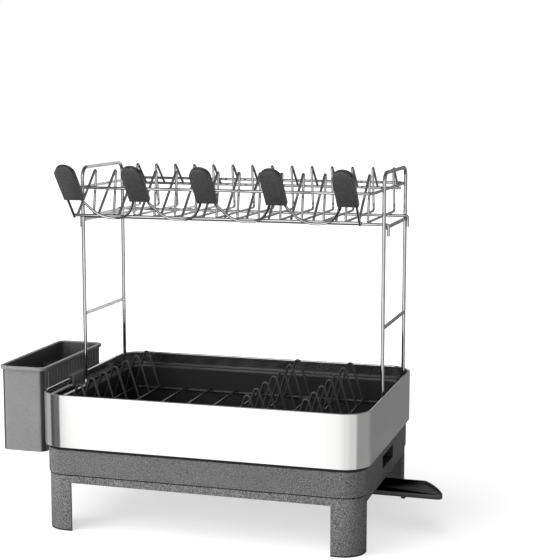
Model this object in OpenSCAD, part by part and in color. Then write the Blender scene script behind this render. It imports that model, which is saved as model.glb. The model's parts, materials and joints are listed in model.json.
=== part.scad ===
// Two-tier dish drying rack: steel band on a moulded base with a swivel spout,
// wire side frames, a plate rack with cup prongs, and a hang-on utensil holder.

/* [Steel band] */
// Outer width of the band, left to right
band_w = 440; // [400:1:520]
// Outer depth of the band, front to back
band_d = 314; // [290:1:380]
// Height of the band
band_h = 70; // [55:1:90]
// Outer corner radius of the band
band_r = 35; // [25:1:45]
// Thickness of the steel sheet
band_t = 1.2; // [0.8:0.1:2]
// Height of the folded hem at the top edge
hem_h = 5; // [3:0.5:8]
// Thickness of the folded hem
hem_t = 3; // [2:0.5:4]

/* [Base] */
// Height of the band's lower edge above the counter
stand_h = 113.5; // [105:0.5:140]
// Height of the legs up to the apron
leg_h = 65; // [55:1:72]
// Width of a leg along the front
leg_w = 39; // [30:1:60]
// Depth of a leg along the side
leg_d = 33; // [28:1:50]
// Height of the step between the lower apron and the skirt
step_z = 76.5; // [74:0.5:84]
// How far the lower apron stands in from the band
apron_inset = 6; // [5:0.5:9]
// How far the skirt stands in from the band
skirt_inset = 4.5; // [3:0.5:4.5]
// Wall thickness of the base
base_wall = 3.2; // [2.8:0.1:4]
// Height of the parting groove at the step
groove_h = 1.4; // [0.8:0.1:2]
// Depth of the parting groove
groove_t = 1; // [0.5:0.1:1.2]
// Thickness of the deck under the basin
deck_t = 3; // [2:0.5:4]
// Width of the outlet window in the right side
window_w = 65; // [40:1:90]
// Height of the outlet window
window_h = 16; // [8:1:17]
// Depth of the pocket behind the outlet window
pocket_deep = 14; // [8:1:14]
// Thickness of a rubber foot pad
pad_t = 2; // [1:0.5:3]

/* [Basin] */
// Width of the ledge that carries the side frames
ledge_w = 14; // [12:1:20]
// Depth of the ledge's top below the band's top edge
ledge_drop = 20; // [16:1:24]
// Wall thickness of the basin
basin_wall = 2.5; // [2:0.1:3.5]
// Height of the inner step above the basin's floor
shelf_h = 22; // [16:1:26]
// Width of the inner step that carries the lower rack
shelf_w = 8; // [6:0.5:10]
// Radius of the drain hole
drain_r = 12; // [8:0.5:13]

/* [Spout] */
// Distance of the spout's pivot from the middle of the base
pivot_x = 174; // [150:1:180]
// Reach of the spout from its pivot
spout_reach = 119; // [90:1:121]
// Width of the spout
spout_w = 63; // [56:1:70]
// Height of the spout's rim above the counter
spout_z = 54; // [46:1:56]
// Height of the spout's side walls
spout_h = 6; // [5:0.5:8]
// Thickness of the spout's floor and walls
spout_t = 2; // [1.5:0.1:2.5]

/* [Side frames] */
// Diameter of the side frames' wire
post_d = 5; // [4:0.5:6]
// Distance from the band's side to a side frame's middle
post_inset = 9.7; // [9.5:0.1:11]
// Distance between the front and back posts
post_gap = 140.7; // [120:0.1:180]
// Distance from the band's back to the back posts' middle
post_back = 33.65; // [31:0.05:56]
// Height of a side frame above the ledge
frame_h = 308; // [280:1:360]
// Length of the front foot along the ledge
foot_len = 78; // [50:1:85]
// Depth of the plug ends in the ledge
plug_len = 13; // [8:1:16]
// Height of the low crossbar above the ledge
low_bar_h = 103.5; // [60:0.5:160]
// Height of the bar that carries the upper rack, above the ledge
shelf_bar_h = 233.8; // [200:0.1:250]

/* [Upper rack] */
// Diameter of the rack's long wires
rail_d = 4; // [3:0.5:5]
// Drop of the long wires' hooked ends
hook_down = 15; // [8:1:20]
// Diameter of the plate wires
tine_d = 3.4; // [2.5:0.1:3.5]
// Number of plate wires
tine_n = 14; // [8:1:16]
// Distance between two plate wires
tine_pitch = 29.35; // [24:0.05:29.5]
// Depth of the plate wires' floor
floor_d = 170; // [150:1:185]
// How far the plate wires' floor stands behind the middle of the shelf wires
floor_shift = 6.5; // [0:0.5:8]
// Gap between the top loop and a side frame
loop_gap = 4.8; // [1:0.1:8]
// Height of the tines above their floor
tine_h = 61.4; // [45:0.1:70]
// How far a tine leans inwards over its height
tine_lean = 12; // [6:1:16]
// Drop of the top loop below the tips
loop_drop = 23; // [18:0.5:28]
// Reach of the front slopes, from the tips to the cup rail
slope_reach = 65.2; // [50:0.1:75]
// Fall of the front slopes, from the tips to the cup rail
slope_fall = 61.3; // [50:0.1:64]
// Fall of the rear slopes, from the tips to the rear rail
rear_fall = 35; // [32:0.5:42]

/* [Cup prongs] */
// Number of capped prongs
prong_n = 5; // [3:1:5]
// Distance between two prongs
prong_pitch = 91.7; // [70:0.1:92]
// Lean of the prongs towards the front
prong_lean = 39.5; // [25:0.5:50]
// Diameter of the prongs' wire
prong_d = 3.5; // [3:0.1:4]
// Half the distance between a prong's two legs
prong_half = 10.2; // [9:0.1:12]
// Length of a cap
cap_len = 57.5; // [45:0.5:70]
// Wall of a cap beside the wire
cap_wall = 1.5; // [1.2:0.1:2.5]
// Thickness of a cap
cap_t = 7; // [6:0.5:12]
// Height of a cap's mouth above the cup rail, along the prong
cap_rise = 34; // [28:1:40]

/* [Lower rack] */
// Diameter of the lower rack's loop
loop_d = 4; // [3:0.5:5]
// Diameter of the lower rack's cross wires and pan tines
cross_d = 3.2; // [2.5:0.1:4]
// Distance between two cross wires
cross_pitch = 38.6; // [34:0.1:42]
// Distance between two rows of pan tines
row_pitch = 40; // [30:1:44]
// Number of rows of pan tines
row_n = 7; // [3:2:7]
// Height of the pan tines above the cross wires
pan_tine_h = 55; // [40:1:65]

/* [Utensil holder] */
// Width of the holder
holder_w = 63; // [50:1:80]
// Length of the holder along the band's side
holder_l = 192; // [120:1:200]
// Height of the holder
holder_h = 114.5; // [90:0.5:130]
// Place of the holder's middle behind the band's middle
holder_y = -30; // [-40:1:-20]
// Height of the holder's rim above the band's top edge
holder_rise = 27; // [15:1:40]
// Wall thickness of the holder
holder_wall = 2; // [1.5:0.1:3]
// Corner radius of the holder
holder_r = 10; // [6:1:14]
// How far the holder's rim stands out
lip_out = 3; // [2:0.5:4]
// Height of the holder's rim
lip_h = 4.5; // [3:0.5:6]
// Width of the hook over the band
hook_w = 40; // [20:1:80]
// Depth of the hook inside the band
hook_drop = 11; // [8:1:14]
// Gap between the holder's wall and the band
holder_gap = 2.8; // [0.3:0.1:5]

/* [Clearances] */
// Gap between pieces that lift apart
lift_gap = 0.3; // [0.2:0.05:0.6]
// Gap between the base's lip and the band
fit_gap = 0.2; // [0.1:0.05:0.4]
// Gap around a side frame's end in its socket
socket_gap = 0.7; // [0.5:0.1:1]
// Gap between a post and the long wires beside it
side_gap = 0.8; // [0.5:0.1:1.5]

/* [Hidden] */
wire_fn = 24;
round_fn = 64;
bend_lap = 0.3;
bend_swell = 0.06;
// height of the sharp corner above a tine's rounded tip
tip_over = 4.1;
// heights, from the counter up
band_top = stand_h + band_h;
deck_top = stand_h - 6.5;
ledge_z = band_top - ledge_drop;
foot_z = ledge_z + (post_d + bend_swell) / 2;
frame_top = ledge_z + frame_h - post_d / 2;
low_bar_z = ledge_z + low_bar_h;
shelf_bar_z = ledge_z + shelf_bar_h;
basin_floor = deck_top + basin_wall;
shelf_z = basin_floor + shelf_h;
// plan sizes
lip_w = band_w - 2 * (band_t + fit_gap);
lip_dp = band_d - 2 * (band_t + fit_gap);
ledge_gap = hem_t + 0.5;
basin_w = band_w - 2 * (ledge_gap + ledge_w);
basin_dp = band_d - 2 * (ledge_gap + ledge_w);
basin_r = band_r - ledge_gap - ledge_w;
// side frames
post_x = band_w / 2 - post_inset;
back_y = band_d / 2 - post_back;
front_y = back_y - post_gap;
post_bend = 10;
top_bend = 14;
// upper rack
rail_z = shelf_bar_z + (post_d + rail_d) / 2 + lift_gap;
rail_front_y = front_y + (post_d + rail_d) / 2 + side_gap;
rail_back_y = back_y - (post_d + rail_d) / 2 - side_gap;
rail_mid_y = (rail_front_y + rail_back_y) / 2 + floor_shift;
hook_x = post_x + (post_d + rail_d) / 2 + lift_gap;
tine_z = rail_z + (rail_d + tine_d) / 2;
tip_z = tine_z + tine_h;
apex_z = tip_z + tip_over;
floor_front = rail_mid_y - floor_d / 2;
floor_back = rail_mid_y + floor_d / 2;
tip_front = floor_front + tine_lean;
tip_back = floor_back - tine_lean;
slope = [slope_reach, slope_fall] / norm([slope_reach, slope_fall]);
loop_off = (rail_d + tine_d) / 2;
loop_z = tip_z - loop_drop;
loop_front = slope_y(tip_front, -1, loop_z - loop_off * slope[0]) - loop_off * slope[1];
loop_back = slope_y(tip_back, 1, loop_z - loop_off * slope[0]) + loop_off * slope[1];
loop_x = post_x - (post_d + rail_d) / 2 - loop_gap;
cup_y = tip_front - slope_reach;
cup_z = apex_z - slope_fall;
rear_z = apex_z - rear_fall;
rear_y = slope_y(tip_back, 1, rear_z);
tine_span = (tine_n - 1) * tine_pitch;
// cup prongs
prong_off = (rail_d + prong_d + bend_swell) / 2;
prong_span = (prong_n - 1) * prong_pitch;
cap_w = 2 * (prong_half + prong_d / 2 + 0.1 + cap_wall);
prong_top = cap_rise + cap_len - cap_wall - 0.1 - prong_d / 2;
cup_rail_l = prong_span + 2 * prong_half + prong_d;
scallop_side = 17;
scallop_flat = 1.2;
// lower rack
shelf_x = basin_w / 2 - basin_wall;
loop_side_x = shelf_x - shelf_w / 2 - 1;
loop_side_y = basin_dp / 2 - basin_wall - shelf_w / 2 - 1;
lower_z = shelf_z + loop_d / 2 + lift_gap;
cross_z = lower_z + (loop_d + cross_d) / 2;
cross_n = 2 * floor((loop_side_x - 12) / cross_pitch) + 1;
pan_columns = [-4.5, 1.5, 3.5];
// spout
collar_r = 18;
collar_wall = 2.5;
retainer_h = 3;
hub_top = spout_z + 9;
spout_floor = spout_z - spout_h;
retainer_z = spout_floor + 5;
hub_bottom = retainer_z + retainer_h + lift_gap;
// utensil holder
holder_top = band_top + holder_rise;
holder_z = holder_top - holder_h;
holder_face = -(band_w / 2 + holder_gap);
holder_x = holder_face - holder_w / 2;
// the origin lies under the middle of the whole object
origin_x = (pivot_x + spout_reach + holder_x - holder_w / 2 - lip_out) / 2;
origin_y = (rear_y + rail_d / 2 - band_d / 2) / 2;

// ---- shared shapes -------------------------------------------------------

// Y of a slope that falls away from a tip, at height z; side is -1 front, 1 back
function slope_y(tip_y, side, z) = tip_y + side * (apex_z - z) * slope_reach / slope_fall;

function unit(v) = v / norm(v);
function turn(a, b) = atan2(a[0] * b[1] - a[1] * b[0], a * b);
function bend_at(bends, i) = is_list(bends) ? bends[i] : bends;

// length that the bend at point i takes from each of its two straight stretches
function trim(pts, bends, i, closed) =
    let (n = len(pts))
    !closed && (i == 0 || i == n - 1) ? 0 :
    let (
        u = unit(pts[i] - pts[(i + n - 1) % n]),
        v = unit(pts[(i + 1) % n] - pts[i])
    )
    bend_at(bends, i) * tan(abs(turn(u, v)) / 2);

// a wire of diameter d bent in the XY plane along pts; its straight stretches run
// a little way into the bends, which are a hair thicker
module wire(pts, d, bends, closed = false) {
    n = len(pts);
    for (i = [0 : closed ? n - 1 : n - 2]) {
        j = (i + 1) % n;
        u = unit(pts[j] - pts[i]);
        from = trim(pts, bends, i, closed) - (closed || i > 0 ? bend_lap : 0);
        to = trim(pts, bends, j, closed) - (closed || j < n - 1 ? bend_lap : 0);
        a = pts[i] + u * from;
        translate([a[0], a[1], 0])
            rotate([0, 90, atan2(u[1], u[0])])
                cylinder(h = norm(pts[j] - pts[i]) - from - to, d = d, $fn = wire_fn);
    }
    for (i = [closed ? 0 : 1 : closed ? n - 1 : n - 2]) {
        u = unit(pts[i] - pts[(i + n - 1) % n]);
        v = unit(pts[(i + 1) % n] - pts[i]);
        r = bend_at(bends, i);
        side = sign(turn(u, v));
        from = pts[i] - u * trim(pts, bends, i, closed);
        to = pts[i] + v * trim(pts, bends, i, closed);
        mid = from + side * r * [-u[1], u[0]];
        start = side > 0 ? from : to;
        translate([mid[0], mid[1], 0])
            rotate([0, 0, atan2(start[1] - mid[1], start[0] - mid[0])])
                rotate_extrude(angle = abs(turn(u, v)), $fn = wire_fn * 2)
                    translate([r, 0])
                        circle(d = d + bend_swell, $fn = wire_fn);
    }
}

// turn a shape drawn in the XY plane up into the YZ plane, at x
module in_yz(x) {
    translate([x, 0, 0]) rotate([90, 0, 90]) children();
}

// turn a shape drawn in the XY plane up into the XZ plane, at y
module in_xz(y) {
    translate([0, y, 0]) rotate([90, 0, 0]) children();
}

module rounded_rect(w, d, r) {
    square([w - 2 * r, d], center = true);
    square([w, d - 2 * r], center = true);
    for (x = [-1, 1], y = [-1, 1])
        translate([x * (w / 2 - r), y * (d / 2 - r)]) circle(r = r, $fn = round_fn);
}

module slab(w, d, r, z0, z1) {
    translate([0, 0, z0]) linear_extrude(z1 - z0) rounded_rect(w, d, r);
}

// upright wall that follows a rounded rectangle
module ring(w, d, r, t, z0, z1) {
    difference() {
        slab(w, d, r, z0, z1);
        slab(w - 2 * t, d - 2 * t, r - t, z0 - 1, z1 + 1);
    }
}

// everything is drawn about the middle of the band, then moved to the origin
module placed() {
    translate([-origin_x, -origin_y, 0]) children();
}

// ---- base ----------------------------------------------------------------

module base_shell() color("dimgray") placed() {
    low_w = band_w - 2 * apron_inset;
    low_d = band_d - 2 * apron_inset;
    low_r = band_r - apron_inset;
    top_w = band_w - 2 * skirt_inset;
    top_d = band_d - 2 * skirt_inset;
    top_r = band_r - skirt_inset;
    window_x = low_w / 2 - pocket_deep;
    window_z = deck_top - deck_t - window_h - 4;
    difference() {
        union() {
            ring(low_w, low_d, low_r, base_wall, pad_t, step_z);
            ring(top_w, top_d, top_r, base_wall, step_z, stand_h + 1);
            // lip inside the band
            ring(lip_w, lip_dp, band_r - band_t - fit_gap, base_wall + skirt_inset - 2, stand_h, stand_h + 10);
            slab(top_w - 2, top_d - 2, top_r - 1, deck_top - deck_t, deck_top);
            // walls of the pocket behind the window in the right side
            translate([window_x - base_wall, -window_w / 2 - base_wall, window_z - base_wall])
                cube([low_w / 2 - window_x + base_wall, window_w + 2 * base_wall, window_h + 2 * base_wall]);
        }
        // the arches between the legs
        translate([-low_w / 2 + leg_w, -band_d, -1]) cube([low_w - 2 * leg_w, 2 * band_d, leg_h + 1]);
        translate([-band_w, -low_d / 2 + leg_d, -1]) cube([2 * band_w, low_d - 2 * leg_d, leg_h + 1]);
        translate([window_x, -window_w / 2, window_z]) cube([40, window_w, window_h]);
        // parting groove round the base
        difference() {
            slab(band_w, band_d, band_r, step_z - groove_h, step_z);
            slab(low_w - 2 * groove_t, low_d - 2 * groove_t, low_r - groove_t, 0, stand_h);
        }
        // hole for the drain
        translate([pivot_x, 0, deck_top - 10]) cylinder(h = 20, r = drain_r + 4, $fn = round_fn);
    }
}

module foot_pads() color("black") placed() {
    w = band_w - 2 * apron_inset;
    d = band_d - 2 * apron_inset;
    for (x = [-1, 1], y = [-1, 1])
        intersection() {
            ring(w, d, band_r - apron_inset, base_wall, 0, pad_t);
            translate([x * (w - leg_w) / 2, y * (d - leg_d) / 2, 0])
                cube([leg_w, leg_d, 3 * pad_t], center = true);
        }
}

module steel_band() color("silver") placed() {
    ring(band_w, band_d, band_r, band_t, stand_h, band_top - hem_h);
    ring(band_w, band_d, band_r, hem_t, band_top - hem_h, band_top);
}

module basin() color([0.1, 0.1, 0.1]) placed() {
    flange_w = band_w - 2 * ledge_gap;
    flange_d = band_d - 2 * ledge_gap;
    difference() {
        union() {
            slab(flange_w, flange_d, band_r - ledge_gap, ledge_z - basin_wall, ledge_z);
            slab(basin_w, basin_dp, basin_r, deck_top, ledge_z - 1);
            for (x = [-1, 1], y = [front_y - foot_len, back_y])
                translate([x * post_x, y, ledge_z - plug_len - 3])
                    cylinder(h = plug_len + 2, r = post_d / 2 + socket_gap + 2, $fn = wire_fn);
            translate([pivot_x, 0, deck_top - deck_t - 9])
                cylinder(h = deck_t + 10, r = drain_r + 2, $fn = round_fn);
        }
        slab(basin_w - 2 * basin_wall, basin_dp - 2 * basin_wall, basin_r - basin_wall, shelf_z, ledge_z + 1);
        slab(basin_w - 2 * basin_wall - 2 * shelf_w, basin_dp - 2 * basin_wall - 2 * shelf_w,
            basin_r - basin_wall, basin_floor, ledge_z + 1);
        // sockets for the side frames
        for (x = [-1, 1], y = [front_y - foot_len, back_y])
            translate([x * post_x, y, ledge_z - plug_len])
                cylinder(h = plug_len + 5, r = post_d / 2 + socket_gap, $fn = wire_fn);
        translate([pivot_x, 0, deck_top - deck_t - 20])
            cylinder(h = deck_t + 30, r = drain_r, $fn = round_fn);
    }
}

// ---- drain and spout -----------------------------------------------------

// tube under the deck that the spout turns on
module drain_collar() color("black") placed() {
    under = deck_top - deck_t;
    translate([pivot_x, 0, 0]) difference() {
        union() {
            translate([0, 0, under - 3]) cylinder(h = 3, r = collar_r + 4, $fn = round_fn);
            translate([0, 0, retainer_z]) cylinder(h = under - retainer_z - 1, r = collar_r, $fn = round_fn);
        }
        translate([0, 0, spout_floor]) cylinder(h = 80, r = collar_r - collar_wall, $fn = round_fn);
    }
}

// ring pushed on the collar's end, which keeps the spout from dropping off
module spout_retainer() color("black") placed() {
    translate([pivot_x, 0, retainer_z]) difference() {
        cylinder(h = retainer_h, r = collar_r + 4, $fn = round_fn);
        translate([0, 0, -1]) cylinder(h = 6, r = collar_r, $fn = round_fn);
    }
}

// plan of the spout: round root, straight sides and a raked, rounded tip
module spout_plan(inset) {
    half = spout_w / 2 - inset;
    reach = spout_reach - inset;
    rake = 31;
    low = half * 0.7;
    tip_r = 6;
    bulge = [2.6, 1.6];
    circle(r = half, $fn = round_fn);
    polygon(concat(
        [[0, -half]],
        [for (a = [-90 : 10 : 0]) [reach - tip_r, tip_r - half] + tip_r * [cos(a), sin(a)]],
        [for (t = [0 : 0.1 : 1]) [reach - rake * t, t * (half + low) - low] + sin(180 * t) * bulge],
        [[0, half]]
    ));
}

module spout() color([0.12, 0.12, 0.13]) placed() translate([pivot_x, 0, 0]) {
    inside = spout_floor + spout_t;
    difference() {
        union() {
            translate([0, 0, spout_floor]) linear_extrude(spout_h) spout_plan(0);
            translate([0, 0, inside]) cylinder(h = hub_top - inside, r = spout_w / 2 - 0.5, $fn = round_fn);
            // finger nub under the front edge
            translate([spout_reach - 50, -spout_w / 2 + 1.5, spout_floor])
                rotate([-90, 0, 0]) cylinder(h = 5, r = 3, $fn = wire_fn);
        }
        // trough, open towards the tip
        translate([0, 0, inside]) linear_extrude(hub_bottom - inside) spout_plan(spout_t);
        translate([0, 0, inside]) cylinder(h = 40, r = collar_r + lift_gap, $fn = round_fn);
    }
}

// ---- lower rack ----------------------------------------------------------

module lower_loop() color([0.15, 0.15, 0.15]) placed() {
    x = loop_side_x;
    y = loop_side_y;
    translate([0, 0, lower_z])
        wire([[-x, -y], [x, -y], [x, y], [-x, y]], loop_d, 10, true);
}

module lower_cross_wires() color([0.15, 0.15, 0.15]) placed() {
    half = (cross_n - 1) / 2;
    for (i = [-half : half])
        translate([i * cross_pitch, loop_side_y, cross_z])
            rotate([90, 0, 0]) cylinder(h = 2 * loop_side_y, d = cross_d, $fn = wire_fn);
}

// one column of bent tines that stand on two neighbouring cross wires
module pan_tines(column) {
    half = cross_pitch / 2;
    top = pan_tine_h + 6;
    foot = unit([half, top]) * cross_d / 2;
    for (i = [0 : row_n - 1])
        in_xz((i - (row_n - 1) / 2) * row_pitch)
            translate([column * cross_pitch, cross_z])
                wire([[foot[0] - half, foot[1]], [0, top], [half - foot[0], foot[1]]], cross_d, 3.5);
}

module pan_tines_left() color([0.15, 0.15, 0.15]) placed() pan_tines(pan_columns[0]);
module pan_tines_middle() color([0.15, 0.15, 0.15]) placed() pan_tines(pan_columns[1]);
module pan_tines_right() color([0.15, 0.15, 0.15]) placed() pan_tines(pan_columns[2]);

// ---- side frames ---------------------------------------------------------

// upside-down U; its front post turns forward along the ledge and plugs in
module side_frame(side) {
    foot_y = front_y - foot_len;
    plug_z = ledge_z - plug_len;
    path = [[foot_y, plug_z], [foot_y, foot_z], [front_y, foot_z],
        [front_y, frame_top], [back_y, frame_top], [back_y, plug_z]];
    in_yz(side * post_x) wire(path, post_d, [0, post_d / 2 + socket_gap, post_bend, top_bend, top_bend, 0]);
}

// a straight bar between the two posts
module cross_bar(side, z) {
    translate([side * post_x, front_y + post_d / 2, z])
        rotate([-90, 0, 0]) cylinder(h = post_gap - post_d, d = post_d, $fn = wire_fn);
}

module left_side_frame() color("silver") placed() side_frame(-1);
module left_low_bar() color("silver") placed() cross_bar(-1, low_bar_z);
module left_shelf_bar() color("silver") placed() cross_bar(-1, shelf_bar_z);
module right_side_frame() color("silver") placed() side_frame(1);
module right_low_bar() color("silver") placed() cross_bar(1, low_bar_z);
module right_shelf_bar() color("silver") placed() cross_bar(1, shelf_bar_z);

// ---- upper rack ----------------------------------------------------------

// long wire that rests on both side frames, with its ends turned down as hooks
module shelf_wire(y) {
    low = rail_z - hook_down;
    in_xz(y) wire([[-hook_x, low], [-hook_x, rail_z], [hook_x, rail_z], [hook_x, low]], rail_d, 3);
}

module shelf_wire_front() color("silver") placed() shelf_wire(rail_front_y);
module shelf_wire_back() color("silver") placed() shelf_wire(rail_back_y);

// closed loop that ties the plate wires together below their tips
module top_loop() color("silver") placed() {
    translate([0, 0, loop_z])
        wire([[-loop_x, loop_front], [loop_x, loop_front], [loop_x, loop_back], [-loop_x, loop_back]],
            rail_d, 10, true);
}

module long_rail(y, z, length) {
    translate([-length / 2, y, z]) rotate([0, 90, 0]) cylinder(h = length, d = rail_d, $fn = wire_fn);
}

module rear_rail() color("silver") placed() long_rail(rear_y, rear_z, tine_span + 8);
module cup_rail() color("silver") placed() long_rail(cup_y, cup_z, cup_rail_l);

// one plate wire: front slope, front tip, floor, back tip, rear slope
module plate_tine(i) color("silver") placed() {
    path = [
        [cup_y, cup_z] + slope * rail_d / 2,
        [tip_front, apex_z],
        [floor_front, tine_z],
        [floor_back, tine_z],
        [tip_back, apex_z],
        [rear_y, rear_z] + [-slope[0], slope[1]] * rail_d / 2
    ];
    in_yz((i - (tine_n + 1) / 2) * tine_pitch) wire(path, tine_d, [0, 3, 4, 4, 3, 0]);
}

// ---- cup prongs ----------------------------------------------------------

// the prongs' leaning plane: X along the rail, Y up the slope, just before the cup rail
module in_prong_plane() {
    translate([0, cup_y, cup_z])
        rotate([90 + prong_lean, 0, 0])
            translate([0, 0, prong_off]) children();
}

// wave of narrow upright loops with a wide scallop between each two
module cup_wire() color("silver") placed() {
    side = scallop_side;
    knee = cap_rise - 4;
    // the scallop's bends take all of its width but a short flat
    room = prong_pitch / 2 - prong_half - side - scallop_flat;
    scallop_r = room / tan(atan2(knee, side) / 2);
    x0 = -prong_span / 2;
    one = [for (k = [0 : prong_n - 1])
        let (x = x0 + k * prong_pitch, first = k == 0, last = k == prong_n - 1)
        each concat(
            first ? [[x - prong_half, 0]] : [[x - prong_half - side, 0], [x - prong_half, knee]],
            [[x - prong_half, prong_top], [x + prong_half, prong_top]],
            last ? [[x + prong_half, 0]] : [[x + prong_half, knee], [x + prong_half + side, 0]]
        )];
    bends = [for (k = [0 : prong_n - 1])
        let (first = k == 0, last = k == prong_n - 1)
        each concat(
            first ? [0] : [scallop_r, 14],
            [prong_half - 0.5, prong_half - 0.5],
            last ? [0] : [14, scallop_r]
        )];
    in_prong_plane() wire(one, prong_d, bends);
}

module cap_outline(half, z0, z1) {
    translate([-half, z0]) square([2 * half, z1 - z0 - half]);
    translate([0, z1 - half]) circle(r = half, $fn = round_fn);
}

// soft flat cap pushed over a prong
module cup_cap(k) color("dimgray") placed() in_prong_plane() {
    top = cap_rise + cap_len;
    slot = prong_d + 0.2;
    translate([(k - (prong_n + 1) / 2) * prong_pitch, 0, 0]) difference() {
        translate([0, 0, -cap_t / 2]) linear_extrude(cap_t) cap_outline(cap_w / 2, cap_rise, top);
        translate([0, 0, -slot / 2]) linear_extrude(slot)
            cap_outline(cap_w / 2 - cap_wall, cap_rise - 1, prong_top + cap_w / 2 - cap_wall);
    }
}

// ---- utensil holder ------------------------------------------------------

module utensil_holder() color("dimgray") placed() translate([holder_x, holder_y, 0]) {
    inner_w = holder_w - 2 * holder_wall;
    inner_l = holder_l - 2 * holder_wall;
    hook_in = holder_w / 2 + holder_gap + hem_t + lift_gap;
    hook_t = 3;
    difference() {
        union() {
            slab(holder_w, holder_l, holder_r, holder_z, holder_top);
            slab(holder_w + 2 * lip_out, holder_l + 2 * lip_out, holder_r + lip_out,
                holder_top - lip_h, holder_top);
        }
        difference() {
            slab(inner_w, inner_l, holder_r - holder_wall, holder_z + holder_wall, holder_top + 1);
            for (y = [-1, 1])
                translate([-holder_w / 2, y * inner_l / 6 - holder_wall / 2, 0])
                    cube([holder_w, holder_wall, holder_top - 20]);
        }
        for (i = [-1 : 1], j = [-1, 0, 1], k = [-1, 1])
            translate([k * 12, i * inner_l / 3 + j * 18, holder_z - 1])
                cylinder(h = holder_wall + 2, r = 3, $fn = wire_fn);
    }
    // hook over the band's edge
    translate([holder_w / 2 - 1, -hook_w / 2, band_top + lift_gap])
        cube([hook_in + hook_t - holder_w / 2 + 1, hook_w, hook_t]);
    translate([hook_in, -hook_w / 2, band_top - hook_drop])
        cube([hook_t, hook_w, hook_drop + lift_gap + hook_t]);
}

// ---- nodes ---------------------------------------------------------------

base_shell();
foot_pads();
steel_band();
basin();
drain_collar();
spout_retainer();
spout();
lower_loop();
lower_cross_wires();
pan_tines_left();
pan_tines_middle();
pan_tines_right();
left_side_frame();
left_low_bar();
left_shelf_bar();
right_side_frame();
right_low_bar();
right_shelf_bar();
shelf_wire_front();
shelf_wire_back();
top_loop();
rear_rail();
cup_rail();
cup_wire();
for (i = [1:tine_n])
    plate_tine(i);
for (i = [1:prong_n])
    cup_cap(i);
utensil_holder();
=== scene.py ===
# %% [markdown]
# # A two-tier dish drying rack
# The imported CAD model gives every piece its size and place. This script gives each
# piece the look of the real thing: polished sheet steel, chromed wire, grained
# plastic and coated wire. First comes the frame, which everything else hangs on.

# %% Load the frame
import json
from math import cos, pi, radians, sin

import bmesh
import bpy
from mathutils import Matrix, Vector


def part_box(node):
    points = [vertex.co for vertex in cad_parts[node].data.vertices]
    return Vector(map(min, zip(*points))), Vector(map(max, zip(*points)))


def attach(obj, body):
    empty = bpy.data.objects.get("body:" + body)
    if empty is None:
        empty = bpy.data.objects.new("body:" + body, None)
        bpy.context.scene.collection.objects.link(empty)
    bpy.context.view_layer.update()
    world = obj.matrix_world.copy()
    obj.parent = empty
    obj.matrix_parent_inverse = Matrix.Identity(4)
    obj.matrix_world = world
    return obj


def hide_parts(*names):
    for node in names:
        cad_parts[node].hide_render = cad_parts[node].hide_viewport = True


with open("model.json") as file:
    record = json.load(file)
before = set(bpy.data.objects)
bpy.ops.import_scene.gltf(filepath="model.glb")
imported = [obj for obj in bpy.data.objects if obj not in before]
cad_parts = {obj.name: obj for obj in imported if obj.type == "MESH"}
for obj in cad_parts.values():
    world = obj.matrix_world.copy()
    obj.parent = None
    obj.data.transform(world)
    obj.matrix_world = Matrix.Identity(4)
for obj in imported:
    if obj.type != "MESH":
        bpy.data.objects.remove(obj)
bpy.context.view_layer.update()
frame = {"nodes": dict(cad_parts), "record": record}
nodes = frame["nodes"]
MM = 0.001


def box(node):
    """The lowest and the highest corner of a CAD node."""
    return [Vector(corner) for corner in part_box(node)]


# %% [markdown]
# ## Camera
# A long lens from a little above the rack, turned to show the front and the spout's
# side. A long lens keeps the two side frames nearly the same size, as in a catalogue.

# %% Place the camera
CAMERA_PLACE = (0.5765, -1.7785, 0.5818)
LENS_MM = 89.6
LOOKS_DOWN, LOOKS_LEFT = 8.0, 16.7  # degrees
FAR_ENOUGH = 50
camera_data = bpy.data.cameras.new("camera")
camera_data.lens = LENS_MM
camera_data.clip_end = FAR_ENOUGH
camera = bpy.data.objects.new("camera", camera_data)
camera.location = CAMERA_PLACE
camera.rotation_euler = (radians(90 - LOOKS_DOWN), 0, radians(LOOKS_LEFT))
bpy.context.collection.objects.link(camera)
bpy.context.scene.camera = camera
print("camera's distance in m:", round(camera.location.length, 2))

# %% [markdown]
# ## Shader maths as plain expressions
# A finish is easier to read as a formula than as a web of nodes. `Field` wraps one
# output socket: adding or multiplying fields adds the Math nodes, and `node` adds any
# other kind of node.


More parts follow.
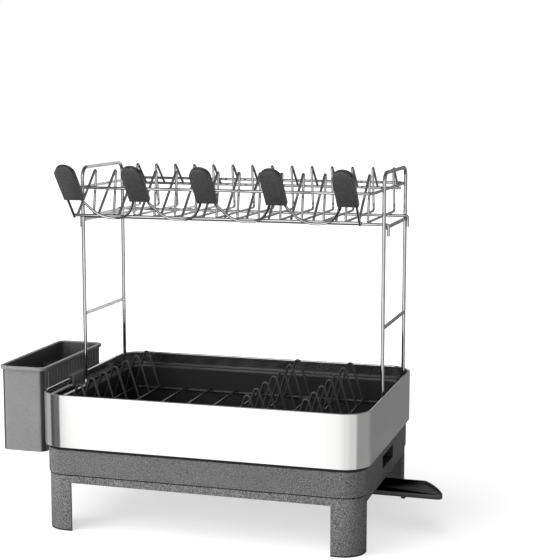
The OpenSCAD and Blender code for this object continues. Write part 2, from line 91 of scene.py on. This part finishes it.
# %% A field over a surface
class Field:
    """A value, colour or position that changes over a surface."""

    def __init__(self, tree, socket):
        self.tree, self.socket = tree, socket

    def node(self, kind, sockets, output=0, **settings):
        made = self.tree.nodes.new(kind)
        for name, value in settings.items():
            setattr(made, name, value)
        for name, value in sockets.items():
            if isinstance(value, Field):
                self.tree.links.new(made.inputs[name], value.socket)
            else:
                made.inputs[name].default_value = value
        return Field(self.tree, made.outputs[output])

    def math(self, operation, *values):
        return self.node("ShaderNodeMath", dict(enumerate(values)), operation=operation)

    def __add__(self, other):
        return self.math("ADD", self, other)

    def __sub__(self, other):
        return self.math("SUBTRACT", self, other)

    def __rsub__(self, other):
        return self.math("SUBTRACT", other, self)

    def __mul__(self, other):
        return self.math("MULTIPLY", self, other)

    __radd__, __rmul__ = __add__, __mul__

    def noise(self, scale, detail=3.0, stretch=(1, 1, 1)):
        """Soft random pattern; a large stretch along an axis packs it tighter there."""
        place = self
        if stretch != (1, 1, 1):
            place = self.node("ShaderNodeMapping", {"Vector": self, "Scale": stretch})
        return self.node("ShaderNodeTexNoise", {"Vector": place, "Scale": scale, "Detail": detail})

    def between(self, start, end):
        """0 below start, 1 above end, smooth in between."""
        sockets = {"Value": self, "From Min": start, "From Max": end}
        return self.node("ShaderNodeMapRange", sockets, interpolation_type="SMOOTHSTEP")

    def blend(self, first, second):
        """Colour that is first where this field is 0 and second where it is 1."""
        return self.node("ShaderNodeMix", {0: self, 6: first, 7: second}, 2, data_type="RGBA")

    def parts(self):
        """The X, Y and Z of a position, as three fields."""
        split = self.node("ShaderNodeSeparateXYZ", {"Vector": self}).socket.node
        return [Field(self.tree, output) for output in split.outputs]

    def length(self):
        """How far a position is from the origin."""
        return self.node("ShaderNodeVectorMath", {"Vector": self}, "Value", operation="LENGTH")

    def inside(self, box_low, box_high, soft):
        """1 where this position lies in a box and 0 outside it."""
        mask = 1
        for along, start, end in zip(self.parts(), box_low, box_high):
            past_start = along.between(start - soft, start + soft)
            past_end = along.between(end - soft, end + soft)
            mask = past_start * (1 - past_end) * mask
        return mask

    def bump(self, strength, depth_mm):
        sockets = {"Height": self, "Strength": strength, "Distance": depth_mm * MM}
        return self.node("ShaderNodeBump", sockets)


# %% [markdown]
# ## Two small helpers for finishes
# Every finish starts the same way: a new material, the constants on its shader, and
# the position on the piece that its patterns read. `drive` then links what varies.

# %% Start a finish and link it
def shade(value, tint=(1, 1, 1)):
    return (value * tint[0], value * tint[1], value * tint[2], 1)


def new_finish(name, constants):
    """A material and the field of its object coordinates; constants go on its shader."""
    material = bpy.data.materials.new(name)
    material.use_nodes = True
    tree = material.node_tree
    shader = tree.nodes["Principled BSDF"]
    for socket, value in constants.items():
        shader.inputs[socket].default_value = value
    place = tree.nodes.new("ShaderNodeTexCoord")
    return material, shader, Field(tree, place.outputs["Object"])


def drive(shader, fields):
    for name, field in fields.items():
        field.tree.links.new(shader.inputs[name], field.socket)


# %% [markdown]
# ## Polished sheet steel
# The band is rolled sheet with a soft horizontal grain. Noise squeezed hard along Z
# gives lines that run round the band, and the grain feeds the roughness more than the
# colour, so the lines show only in the reflections. Larger cloudy noise stands for
# wiped water marks.

# %% Steel finish
ROLLED_LINES = (6, 6, 1500)  # noise per metre along X, Y and Z
MARKS_PER_M = 9
BRIGHT_STEEL, WORN_STEEL = shade(0.82, (1, 0.998, 0.992)), shade(0.74, (1, 0.996, 0.99))


def sheet_steel():
    material, shader, place = new_finish("band_steel", {"Metallic": 1.0})
    grain = place.noise(1.0, 2.0, ROLLED_LINES)
    marks = place.noise(MARKS_PER_M, 3.0).between(0.5, 0.8)
    drive(shader, {
        "Base Color": (grain * 0.7 + marks * 0.3).blend(BRIGHT_STEEL, WORN_STEEL),
        "Roughness": 0.1 + grain * 0.08 + marks * 0.05,
        "Normal": grain.bump(0.02, 0.02),
    })
    return material


# %% [markdown]
# ## Chromed wire
# Drawn wire has very fine pits, and chrome over them is bright with a thin dark edge.
# A little dullness in patches keeps forty wires from looking stamped, and specks of
# dried water roughen it here and there.

# %% Chrome finish
PATCHES_PER_M, SPECKS_PER_M, PITS_PER_M = 60, 900, 1500
CLEAN_CHROME, DULL_CHROME = shade(0.62), shade(0.50, (1, 0.99, 0.975))


def chromed_wire():
    material, shader, place = new_finish("chromed_wire", {"Metallic": 1.0})
    dull = place.noise(PATCHES_PER_M, 3.0).between(0.45, 0.75)
    spots = place.noise(SPECKS_PER_M, 2.0).between(0.62, 0.74)
    pits = place.noise(PITS_PER_M, 2.0)
    drive(shader, {
        "Base Color": dull.blend(CLEAN_CHROME, DULL_CHROME),
        "Roughness": 0.05 + dull * 0.06 + spots * 0.1,
        "Normal": (pits * 0.5 + spots * 0.5).bump(0.08, 0.03),
    })
    return material


# %% [markdown]
# ## Grained and smooth plastics
# The base is moulded with a coarse grain that shows pale specks where light catches
# it. The other plastics share the same recipe with a finer grain: one function, told
# how dark, how rough and how coarse. Shade in creases and pockets is painted into the
# colour: a list of boxes says where the plastic is painted darker, and by how much.

# %% Plastic recipe
RUBBED_PER_M = 14
RUBBED_LIGHTER = 0.14  # how much paler the plastic is where hands and cloths rub it
SPECK_DARKENS = 0.45  # the ground gets darker by this much as its specks get stronger
PLASTIC_TINT = (1, 1, 1.01)
# painted shade: how softly each box's darkening fades out at its edges
SHADE_EDGE = 0.4 * MM


def moulded_plastic(name, tone, roughness, grain_per_m, speck, depth_mm, gloss, shaded_boxes):
    """Grained plastic; speck is the strength of its pale specks, depth_mm that of its bumps."""
    material, shader, place = new_finish(name, {"Specular IOR Level": gloss})
    grain = place.noise(grain_per_m, 3.0)
    specks = place.noise(grain_per_m, 1.0).between(0.43, 0.57)
    rubbed = place.noise(RUBBED_PER_M, 4.0).between(0.42, 0.78)
    dark = tone * (1 - SPECK_DARKENS * speck)
    pale = tone * (1 + RUBBED_LIGHTER - SPECK_DARKENS * speck)
    ground = rubbed.blend(shade(dark, PLASTIC_TINT), shade(pale, PLASTIC_TINT))
    tones = (specks * speck).blend(ground, shade(tone * 2.0 + 0.01, PLASTIC_TINT))
    # painted shade: inside each box the colour is darkened to stand for the shade that falls there
    for box_low, box_high, darker in shaded_boxes:
        tones = place.inside(box_low, box_high, SHADE_EDGE).blend(tones, shade(tone * darker))
    drive(shader, {
        "Base Color": tones,
        "Roughness": roughness + rubbed * 0.07 - specks * 0.05,
        "Normal": (grain * 0.75 + specks * 0.25).bump(0.5, depth_mm),
    })
    return material


# %% [markdown]
# ## Rubber pads
# The soft pads under the legs are matt and pick up dust, so pale patches of noise lie
# on a nearly black ground.

# %% Rubber finish
DUST_PER_M, RUBBER_GRAIN_PER_M = 160, 1200


def pad_rubber():
    material, shader, place = new_finish("pad_rubber", {"Specular IOR Level": 0.3})
    dust = place.noise(DUST_PER_M, 3.0).between(0.5, 0.75)
    drive(shader, {
        "Base Color": dust.blend(shade(0.02), shade(0.05)),
        "Roughness": 0.75 + dust * 0.15,
        "Normal": place.noise(RUBBER_GRAIN_PER_M, 2.0).bump(0.3, 0.08),
    })
    return material


# %% [markdown]
# ## Places with painted shade
# Four places are painted darker than the plastic round them, for the shade that falls
# in them: the gap under the band's edge, the groove where the mould parts, the outlet
# window's pocket, and the inside of the utensil holder. Each is a box in the rack's own
# frame. The CAD nodes' corners give most of its sides, and the groove's and the pocket's
# heights are the design's own numbers.

# %% Painted shade boxes
band_low, band_high = box("steel_band")
base_high = box("base_shell")[1]
base_middle_y = sum(box("base_shell"), Vector()).y / 2
holder_low, holder_high = box("utensil_holder")
# painted shade: inside its boxes the plastic keeps only this share of its own tone
SHADE_TONE, HOLDER_SHADE_TONE = 0.05, 0.16  # what is left of the plastic's own tone
UNDER_BAND = (band_low.z - 4.5 * MM, band_low.z + 5 * MM)
GROOVE = (74.9 * MM, 76.5 * MM)
POCKET_DEEP, POCKET_FACE, POCKET_HALF = 18 * MM, 2.2 * MM, 33.5 * MM
POCKET_Z = (83 * MM, 101 * MM)
LIP, WALL_TO_BAND, HOLDER_WALL = 3 * MM, 2.8 * MM, 1 * MM
wall_x = band_low.x - WALL_TO_BAND
rim_in = LIP + HOLDER_WALL
# the boxes of painted shade for each plastic
painted_shade = {
    "base_plastic": [
        ((-1, -1, UNDER_BAND[0]), (1, 1, UNDER_BAND[1]), SHADE_TONE),
        ((-1, -1, GROOVE[0]), (1, 1, GROOVE[1]), SHADE_TONE),
        ((base_high.x - POCKET_DEEP, base_middle_y - POCKET_HALF, POCKET_Z[0]),
         (base_high.x - POCKET_FACE, base_middle_y + POCKET_HALF, POCKET_Z[1]), SHADE_TONE),
    ],
    "holder_plastic": [
        ((holder_low.x + rim_in, holder_low.y + rim_in, holder_low.z + HOLDER_WALL),
         (wall_x - HOLDER_WALL, holder_high.y - rim_in, holder_high.z - 1.2 * MM), HOLDER_SHADE_TONE),
    ],
}
print("grime boxes:", {name: len(boxes) for name, boxes in painted_shade.items()})

# %% [markdown]
# ## All the finishes
# The six plastics differ only in numbers, so they stand in one table. The dark basin
# barely shines, the coated wire and the caps shine most, and the base is the roughest.

# %% Make the finishes
PLASTICS = {  # tone, roughness, grain per metre, speck, bump depth in mm, gloss
    "base_plastic": (0.104, 0.58, 900, 0.95, 0.8, 0.4),
    "basin_plastic": (0.009, 0.55, 1500, 0.15, 0.1, 0.12),
    "spout_plastic": (0.05, 0.36, 1500, 0.12, 0.08, 0.45),
    "coated_wire": (0.03, 0.24, 1800, 0.1, 0.06, 0.6),
    "cap_plastic": (0.044, 0.36, 900, 0.7, 0.2, 0.6),
    "holder_plastic": (0.215, 0.46, 1300, 0.2, 0.1, 0.45),
}
finishes = {"band_steel": sheet_steel(), "chromed_wire": chromed_wire(), "pad_rubber": pad_rubber()}
for name, recipe in PLASTICS.items():
    finishes[name] = moulded_plastic(name, *recipe, painted_shade.get(name, ()))
print("finishes:", ", ".join(finishes))

# %% [markdown]
# The record names a material slot for every CAD node. Each node takes that slot's
# finish, also the nodes that a rounder copy replaces further down.

# %% Dress every CAD node in its slot's finish
slot_of = {part["node"]: part["material_slot"] for part in frame["record"]["subparts"]}
for node, solid in nodes.items():
    solid.data.materials.clear()
    solid.data.materials.append(finishes[slot_of[node]])
print("nodes dressed:", len(nodes))

# %% [markdown]
# ## From a bmesh to a piece of the rack
# Every new piece goes the same way: its bmesh becomes a mesh in an object at the
# origin, it takes a slot's finish, and it rides on the body that carries it. Faces are
# shaded smooth except across edges that are meant to look sharp.

# %% Piece helpers
SHARP_ANGLE = radians(32)


def new_object(name, bm, material):
    mesh = bpy.data.meshes.new(name)
    bm.to_mesh(mesh)
    bm.free()
    mesh.materials.append(material)
    made = bpy.data.objects.new(name, mesh)
    bpy.context.collection.objects.link(made)
    return made


def add_piece(name, bm, finish, body):
    piece = new_object(name, bm, finishes[finish])
    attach(piece, body)
    return piece


def shade_smooth(bm):
    for face in bm.faces:
        face.smooth = True
    for edge in bm.edges:
        edge.smooth = len(edge.link_faces) != 2 or edge.calc_face_angle(0) < SHARP_ANGLE


# %% [markdown]
# ## A wall swept round a rounded rectangle
# The band is one cross-section carried round four sides and four corners. Its outline
# is drawn once, then extruded along each side and spun through each corner, as the
# sheet is rolled in the factory.

# %% Sweep helper
CORNER_STEPS = 14
SAME_POINT = 0.01 * MM


def swept_wall(outline, lowest, highest, radius):
    """A closed wall: outline lists (outset, height) from the outer face of the box."""
    bm = bmesh.new()
    half_x, half_y, _ = (highest - lowest) / 2
    middle = Vector(((highest.x + lowest.x) / 2, (highest.y + lowest.y) / 2, 0))
    ring = [bm.verts.new((half_x + out, radius - half_y, z)) for out, z in outline]
    edges = [bm.edges.new((a, b)) for a, b in zip(ring, ring[1:] + ring[:1])]
    for quarter in range(4):
        turn = Matrix.Rotation(quarter * pi / 2, 4, "Z")
        side = 2 * (half_y if quarter % 2 == 0 else half_x) - 2 * radius
        grown = bmesh.ops.extrude_edge_only(bm, edges=edges)["geom"]
        verts = [g for g in grown if isinstance(g, bmesh.types.BMVert)]
        edges = [g for g in grown if isinstance(g, bmesh.types.BMEdge) and len(g.link_faces) == 1]
        bmesh.ops.translate(bm, verts=verts, vec=turn @ Vector((0, side, 0)))
        corner_x = (half_x - radius) * (1 if quarter in (0, 3) else -1)
        corner_y = (half_y - radius) * (1 if quarter in (0, 1) else -1)
        spun = bmesh.ops.spin(bm, geom=verts + edges, cent=(corner_x, corner_y, 0),
                              axis=(0, 0, 1), angle=pi / 2, steps=CORNER_STEPS)
        edges = [g for g in spun["geom_last"] if isinstance(g, bmesh.types.BMEdge)]
    bmesh.ops.remove_doubles(bm, verts=bm.verts, dist=SAME_POINT)
    bmesh.ops.translate(bm, verts=bm.verts, vec=middle)
    bmesh.ops.recalc_face_normals(bm, faces=bm.faces)
    return bm


def arc(centre, radius, start, end, steps):
    """Points of an arc in an outline, angles in degrees."""
    turns = [radians(start + (end - start) * i / steps) for i in range(steps + 1)]
    return [(centre[0] + radius * cos(t), centre[1] + radius * sin(t)) for t in turns]


# %% [markdown]
# ## The steel band
# The sheet is 1.2 mm thick. Its top edge is folded inwards into a rounded hem, which
# keeps the raw edge away from hands and catches a bright line of light all round.

# %% Band with a folded hem
SHEET, BURR = 1.2 * MM, 0.3 * MM  # the sheet's thickness, and the softened lower edge
HEM, FOLD, HEM_DEEP = 1.5 * MM, 0.9 * MM, 5 * MM
BAND_CORNER = 35 * MM
top, bottom = band_high.z, band_low.z
band_outline = (
    [(-BURR, bottom), (0, bottom + BURR)]
    + arc((-HEM, top - HEM), HEM, 0, 180, 10)
    + arc((-SHEET - FOLD, top - HEM_DEEP + FOLD), FOLD, 180, 360, 8)
    + [(-SHEET, top - HEM_DEEP - 0.4 * MM), (-SHEET, bottom + BURR), (BURR - SHEET, bottom)]
)
band_mesh = swept_wall(band_outline, band_low, band_high, BAND_CORNER)
shade_smooth(band_mesh)
band = add_piece("rolled_band", band_mesh, "band_steel", "base")
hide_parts("steel_band")
print("band faces:", len(band.data.polygons))

# %% [markdown]
# ## Moulded pieces with soft edges
# Moulded plastic has no knife edges: the tool's corners are rounded so that the part
# comes out. A copy of each CAD shape is merged, its flat triangles are joined into
# whole faces, and every sharp edge gets a small round.

# %% Round the moulded pieces
MERGE, FLAT_ANGLE, BEVEL_ANGLE = 0.005 * MM, radians(0.4), radians(38)


def moulded_copy(node, edge_mm, finish, body, segments=2):
    bm = bmesh.new()
    bm.from_mesh(nodes[node].data)
    bmesh.ops.remove_doubles(bm, verts=bm.verts, dist=MERGE)
    bmesh.ops.dissolve_limit(bm, angle_limit=FLAT_ANGLE, verts=bm.verts, edges=bm.edges)
    sharp = [e for e in bm.edges if len(e.link_faces) == 2 and e.calc_face_angle(0) > BEVEL_ANGLE]
    bmesh.ops.bevel(bm, geom=sharp, offset=edge_mm * MM, offset_type="OFFSET", affect="EDGES",
                    segments=segments, profile=0.5, material=-1, clamp_overlap=True)
    shade_smooth(bm)
    piece = add_piece(node + "_moulded", bm, finish, body)
    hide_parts(node)
    print(node, "rounded edges:", len(sharp))


moulded_copy("base_shell", 0.7, "base_plastic", "base")
moulded_copy("basin", 0.6, "basin_plastic", "base")
moulded_copy("spout", 0.5, "spout_plastic", "spout")
moulded_copy("utensil_holder", 0.6, "holder_plastic", "holder")

# %% [markdown]
# ## Ribs on the holder
# The wall that faces the band is stiffened by upright ribs. Each is a thin bar with
# rounded edges, half sunk into the wall, in the gap between the holder and the band.

# %% Ribs
RIB_OUT, RIB_WIDE, RIB_PITCH, RIB_ROUND = 1.2 * MM, 2.4 * MM, 9 * MM, 0.5 * MM
RIB_FOOT, RIB_HEAD, RIB_ENDS = 8 * MM, 5 * MM, 24 * MM  # plain wall left below, above and beside
rib_low, rib_high = holder_low.z + RIB_FOOT, holder_high.z - RIB_HEAD
rib_count = int((holder_high.y - holder_low.y - 2 * LIP - RIB_ENDS) / RIB_PITCH)
ribs = bmesh.new()
for number in range(rib_count + 1):
    y = (holder_low.y + holder_high.y) / 2 + (number - rib_count / 2) * RIB_PITCH
    bar = bmesh.ops.create_cube(ribs, size=1)["verts"]
    bmesh.ops.scale(ribs, vec=(2 * RIB_OUT, RIB_WIDE, rib_high - rib_low), verts=bar)
    bmesh.ops.translate(ribs, vec=(wall_x, y, (rib_low + rib_high) / 2), verts=bar)
bmesh.ops.bevel(ribs, geom=ribs.edges[:], offset=RIB_ROUND, offset_type="OFFSET", affect="EDGES",
                segments=2, profile=0.5, material=-1)
shade_smooth(ribs)
add_piece("holder_ribs", ribs, "holder_plastic", "holder")
print("holder ribs:", rib_count + 1)

# %% [markdown]
# ## Caps on the prongs
# Each cap is a flat paddle pushed over a prong so that a cup's rim isn't scratched.
# The CAD cap has the slot for the wire, so it is kept and only its edges are rounded,
# well enough to read as soft.

# %% Soft caps
CAPS, CAP_ROUND_MM = 5, 1.3
for number in range(1, CAPS + 1):
    moulded_copy(f"cup_cap_{number}", CAP_ROUND_MM, "cap_plastic", "plate_rack", 3)

# %% [markdown]
# ## Weld beads
# Wherever a plate wire crosses a long wire, the real rack has a small spot weld: the
# two wires sink into each other with a swollen bead between. A squashed icosphere
# at each crossing closes the pinhole that two touching cylinders leave.

# %% Bead helper
def centre(node):
    return sum(box(node), Vector()) / 2


def bead(bm, place, radius, along):
    made = bmesh.ops.create_icosphere(bm, subdivisions=2, radius=radius)
    bmesh.ops.scale(bm, vec=along, verts=made["verts"])
    bmesh.ops.translate(bm, vec=place, verts=made["verts"])


# %% [markdown]
# A plate wire slopes up from the cup rail and from the rear rail, so those beads lie one
# rail's radius up the slope. It passes the top loop's wires sideways, so the beads there
# lie square to the slope. On the two shelf wires it simply lies on top.

# %% Beads on the plate rack
TINES = [name for name in nodes if name.startswith("plate_tine_")]
RAIL = 2.0 * MM
TINE_RUN, TINE_RISE = 65.2, 61.3  # a plate wire's slope
PLATE_BEAD, PLATE_BEAD_ALONG = 1.35 * MM, (1.25, 1.0, 0.8)
slope_y, slope_z = Vector((TINE_RUN, TINE_RISE)).normalized() * RAIL
cup_rail, rear_rail = centre("cup_rail"), centre("rear_rail")
front_wire, back_wire = centre("shelf_wire_front"), centre("shelf_wire_back")
loop_low, loop_high = box("top_loop")
loop_z = (loop_low.z + loop_high.z) / 2
rest_z = box("shelf_wire_front")[1].z
crossings = [
    (cup_rail.y + slope_y, cup_rail.z + slope_z),
    (rear_rail.y - slope_y, rear_rail.z + slope_z),
    (loop_low.y + RAIL + slope_z, loop_z - slope_y),
    (loop_high.y - RAIL - slope_z, loop_z - slope_y),
    (front_wire.y, rest_z),
    (back_wire.y, rest_z),
]
welds = bmesh.new()
for tine in TINES:
    for y, z in crossings:
        bead(welds, (centre(tine).x, y, z), PLATE_BEAD, PLATE_BEAD_ALONG)
shade_smooth(welds)
add_piece("plate_rack_welds", welds, "chromed_wire", "plate_rack")
print("plate rack crossings:", len(TINES) * len(crossings))

# %% Beads on the side frames
FRAME_BEAD, FRAME_BEAD_ALONG = 2.9 * MM, (0.9, 0.45, 0.9)
frame_welds = bmesh.new()
for side in ("left", "right"):
    for bar in ("low_bar", "shelf_bar"):
        bar_low, bar_high = box(f"{side}_{bar}")
        middle = (bar_low + bar_high) / 2
        for y in (bar_low.y, bar_high.y):
            bead(frame_welds, (middle.x, y, middle.z), FRAME_BEAD, FRAME_BEAD_ALONG)
shade_smooth(frame_welds)
add_piece("side_frame_welds", frame_welds, "chromed_wire", "base")

# %% [markdown]
# ## Floor
# The rack stands on white paper. The paper glows a little by itself, less near the
# rack, so the shadow stays soft and the paper has no grey horizon far away. Light that
# bounces off it is held back, or the rack's undersides would be too bright. Reflections
# don't see it: the tent in the next step has a floor of its own for them.

# %% Floor
FLOOR_HALF, CLOUDS_PER_M = 12, 3
PAPER_DARK, PAPER_PALE = shade(0.52), shade(0.54)
GLOW_NEAR, GLOW_FROM, GLOW_TO, BOUNCE_CUT = 0.62, 0.35, 1.3, 0.75
paper_constants = {"Specular IOR Level": 0.1, "Roughness": 0.9}
floor_finish, shader, place = new_finish("floor_paper", paper_constants)
shader.inputs["Emission Strength"].default_value = 1.0
bounced = place.node("ShaderNodeLightPath", {}, "Is Diffuse Ray")
paper_glow = GLOW_NEAR + place.length().between(GLOW_FROM, GLOW_TO) * (1 - GLOW_NEAR)
drive(shader, {
    "Base Color": place.noise(CLOUDS_PER_M, 2.0).blend(PAPER_DARK, PAPER_PALE),
    "Emission Color": (paper_glow * (1 - bounced * BOUNCE_CUT)).blend(shade(0), shade(1)),
})
floor_mesh = bmesh.new()
bmesh.ops.create_grid(floor_mesh, x_segments=1, y_segments=1, size=FLOOR_HALF)
floor = new_object("floor", floor_mesh, floor_finish)
floor.visible_glossy = False

# %% [markdown]
# ## Tent
# Polished metal shows its surroundings more than itself, so the surroundings are
# built: an oval tent of panels round the rack, with a dark middle to its floor and a
# dim ceiling, which only reflections see. White panels in front fill the band with
# white, and darker ones at the corners and behind give each wire its thin dark edges.

# %% Tent shape
TENT_HALF_X, TENT_HALF_Y, TENT_HEIGHT = 0.68, 0.58, 1.2
TENT_LIFT, TENT_SEGMENTS = 0.3 * MM, 180
tent_mesh = bmesh.new()
rim = bmesh.ops.create_circle(tent_mesh, segments=TENT_SEGMENTS, radius=1)["verts"]
bmesh.ops.scale(tent_mesh, vec=(TENT_HALF_X, TENT_HALF_Y, 1), verts=rim)
raised = bmesh.ops.extrude_edge_only(tent_mesh, edges=tent_mesh.edges[:])["geom"]
raised_verts = [g for g in raised if isinstance(g, bmesh.types.BMVert)]
bmesh.ops.translate(tent_mesh, verts=raised_verts, vec=(0, 0, TENT_HEIGHT))
bmesh.ops.holes_fill(tent_mesh, edges=tent_mesh.edges[:], sides=0)
bmesh.ops.translate(tent_mesh, verts=tent_mesh.verts, vec=(0, 0, TENT_LIFT))
print("tent faces:", len(tent_mesh.faces))

# %% [markdown]
# The panels are a list of starting angles and brightnesses. The glow is a sum of soft
# steps, one at each start, so a panel is changed by changing one number. A colour
# can't pass 1 on its way through a Mix node, so the glow is scaled down there and the
# emission's strength scales it up again.

# %% Tent glow
# (angle in degrees where a panel starts, brightness); 0 is straight in front of the
# rack and angles grow clockwise seen from above
PANELS = [
    (-180, 0.8), (-172, 0.1), (-163, 0.21), (-128, 0.28), (-110, 0.34), (-60, 0.78),
    (-40, 0.93), (-26, 1.05), (-17, 1.15), (-8, 1.4), (37, 0.1), (43, 0.15),
    (54, 0.08), (66, 0.5), (89, 0.1), (103, 0.2), (114, 0.12), (142, 0.8),
]
BRIGHTEST, SOFT_EDGE = 2.0, 2
FLOOR_LEFT, FLOOR_FADE = 0.06, (0.3, 0.5)  # what the middle of the tent's floor keeps
CEILING_LOST, CEILING_FADE = 0.72, (0.55, 0.95)  # what the ceiling loses
tent_finish, shader, place = new_finish("tent_panels", {"Base Color": shade(0), "Roughness": 1.0})
shader.inputs["Emission Strength"].default_value = BRIGHTEST
across, away, level = place.parts()
angle = across.math("ARCTAN2", across * -1, away * -1) * (180 / pi)
glow = angle * 0 + PANELS[0][1]
for (_, before), (start, bright) in zip(PANELS, PANELS[1:]):
    glow = glow + angle.between(start - SOFT_EDGE, start + SOFT_EDGE) * (bright - before)
glow = glow * (FLOOR_LEFT + place.length().between(*FLOOR_FADE) * (1 - FLOOR_LEFT))
glow = glow * (1 - level.between(*CEILING_FADE) * CEILING_LOST)
drive(shader, {"Emission Color": (glow * (1 / BRIGHTEST)).blend(shade(0), shade(1))})
tent = new_object("tent", tent_mesh, tent_finish)
tent.visible_camera = tent.visible_diffuse = tent.visible_shadow = False
tent.visible_transmission = tent.visible_volume_scatter = False

# %% [markdown]
# ## Lights
# Three softboxes: a broad one in front on the left, a small one further left that draws
# crisp highlights along rounded edges, and a wide one overhead that reaches the basin.

# %% Lights
SOFTBOXES = [  # name, place, aim, size, watts
    ("front_left", (-1.5, -2.3, 1.3), (0, 0, 0.15), (1.8, 1.4), 46),
    ("side_left", (-2.0, -1.2, 1.7), (0, 0, 0.1), (0.5, 0.5), 16),
    ("top_light", (-0.9, -0.1, 2.6), (0, 0, 0), (2.4, 2.4), 34),
]
for name, place, aim, size, watts in SOFTBOXES:
    data = bpy.data.lights.new(name, "AREA")
    data.shape = "RECTANGLE"
    data.size, data.size_y = size
    data.energy = watts
    light = bpy.data.objects.new(name, data)
    light.location = place
    light.rotation_euler = (Vector(aim) - Vector(place)).to_track_quat("-Z", "Y").to_euler()
    bpy.context.collection.objects.link(light)
print("watts in all:", sum(softbox[4] for softbox in SOFTBOXES))

# %% [markdown]
# ## World
# The camera sees pure white behind the rack. The pieces themselves are lit by a sky
# that is bright on the front left, a little brighter overhead, and dim on the far
# right, which is what turns the base's right side dark.

# %% Sky
SKY_FACES = (-0.5, -0.75, 0.43)
SKY_DIM, SKY_FACING, SKY_OVERHEAD = 0.02, 1.1, 0.25
world = bpy.data.worlds.new("studio")
world.use_nodes = True
bpy.context.scene.world = world
sky_tree = world.node_tree
sky = sky_tree.nodes["Background"]
sky.inputs["Color"].default_value = shade(1)
toward = Field(sky_tree, sky_tree.nodes.new("ShaderNodeTexCoord").outputs["Generated"])
facing = toward.node("ShaderNodeVectorMath", {0: toward, 1: SKY_FACES}, "Value",
                     operation="DOT_PRODUCT")
upward = toward.parts()[2]
sky_glow = SKY_DIM + facing.between(0.05, 0.95) * SKY_FACING + upward.between(0.5, 1.0) * SKY_OVERHEAD
seen = toward.node("ShaderNodeLightPath", {}, "Is Camera Ray")
sky_tree.links.new(sky.inputs["Strength"], (seen + (1 - seen) * sky_glow).socket)
bpy.context.scene.view_settings.view_transform = "Standard"
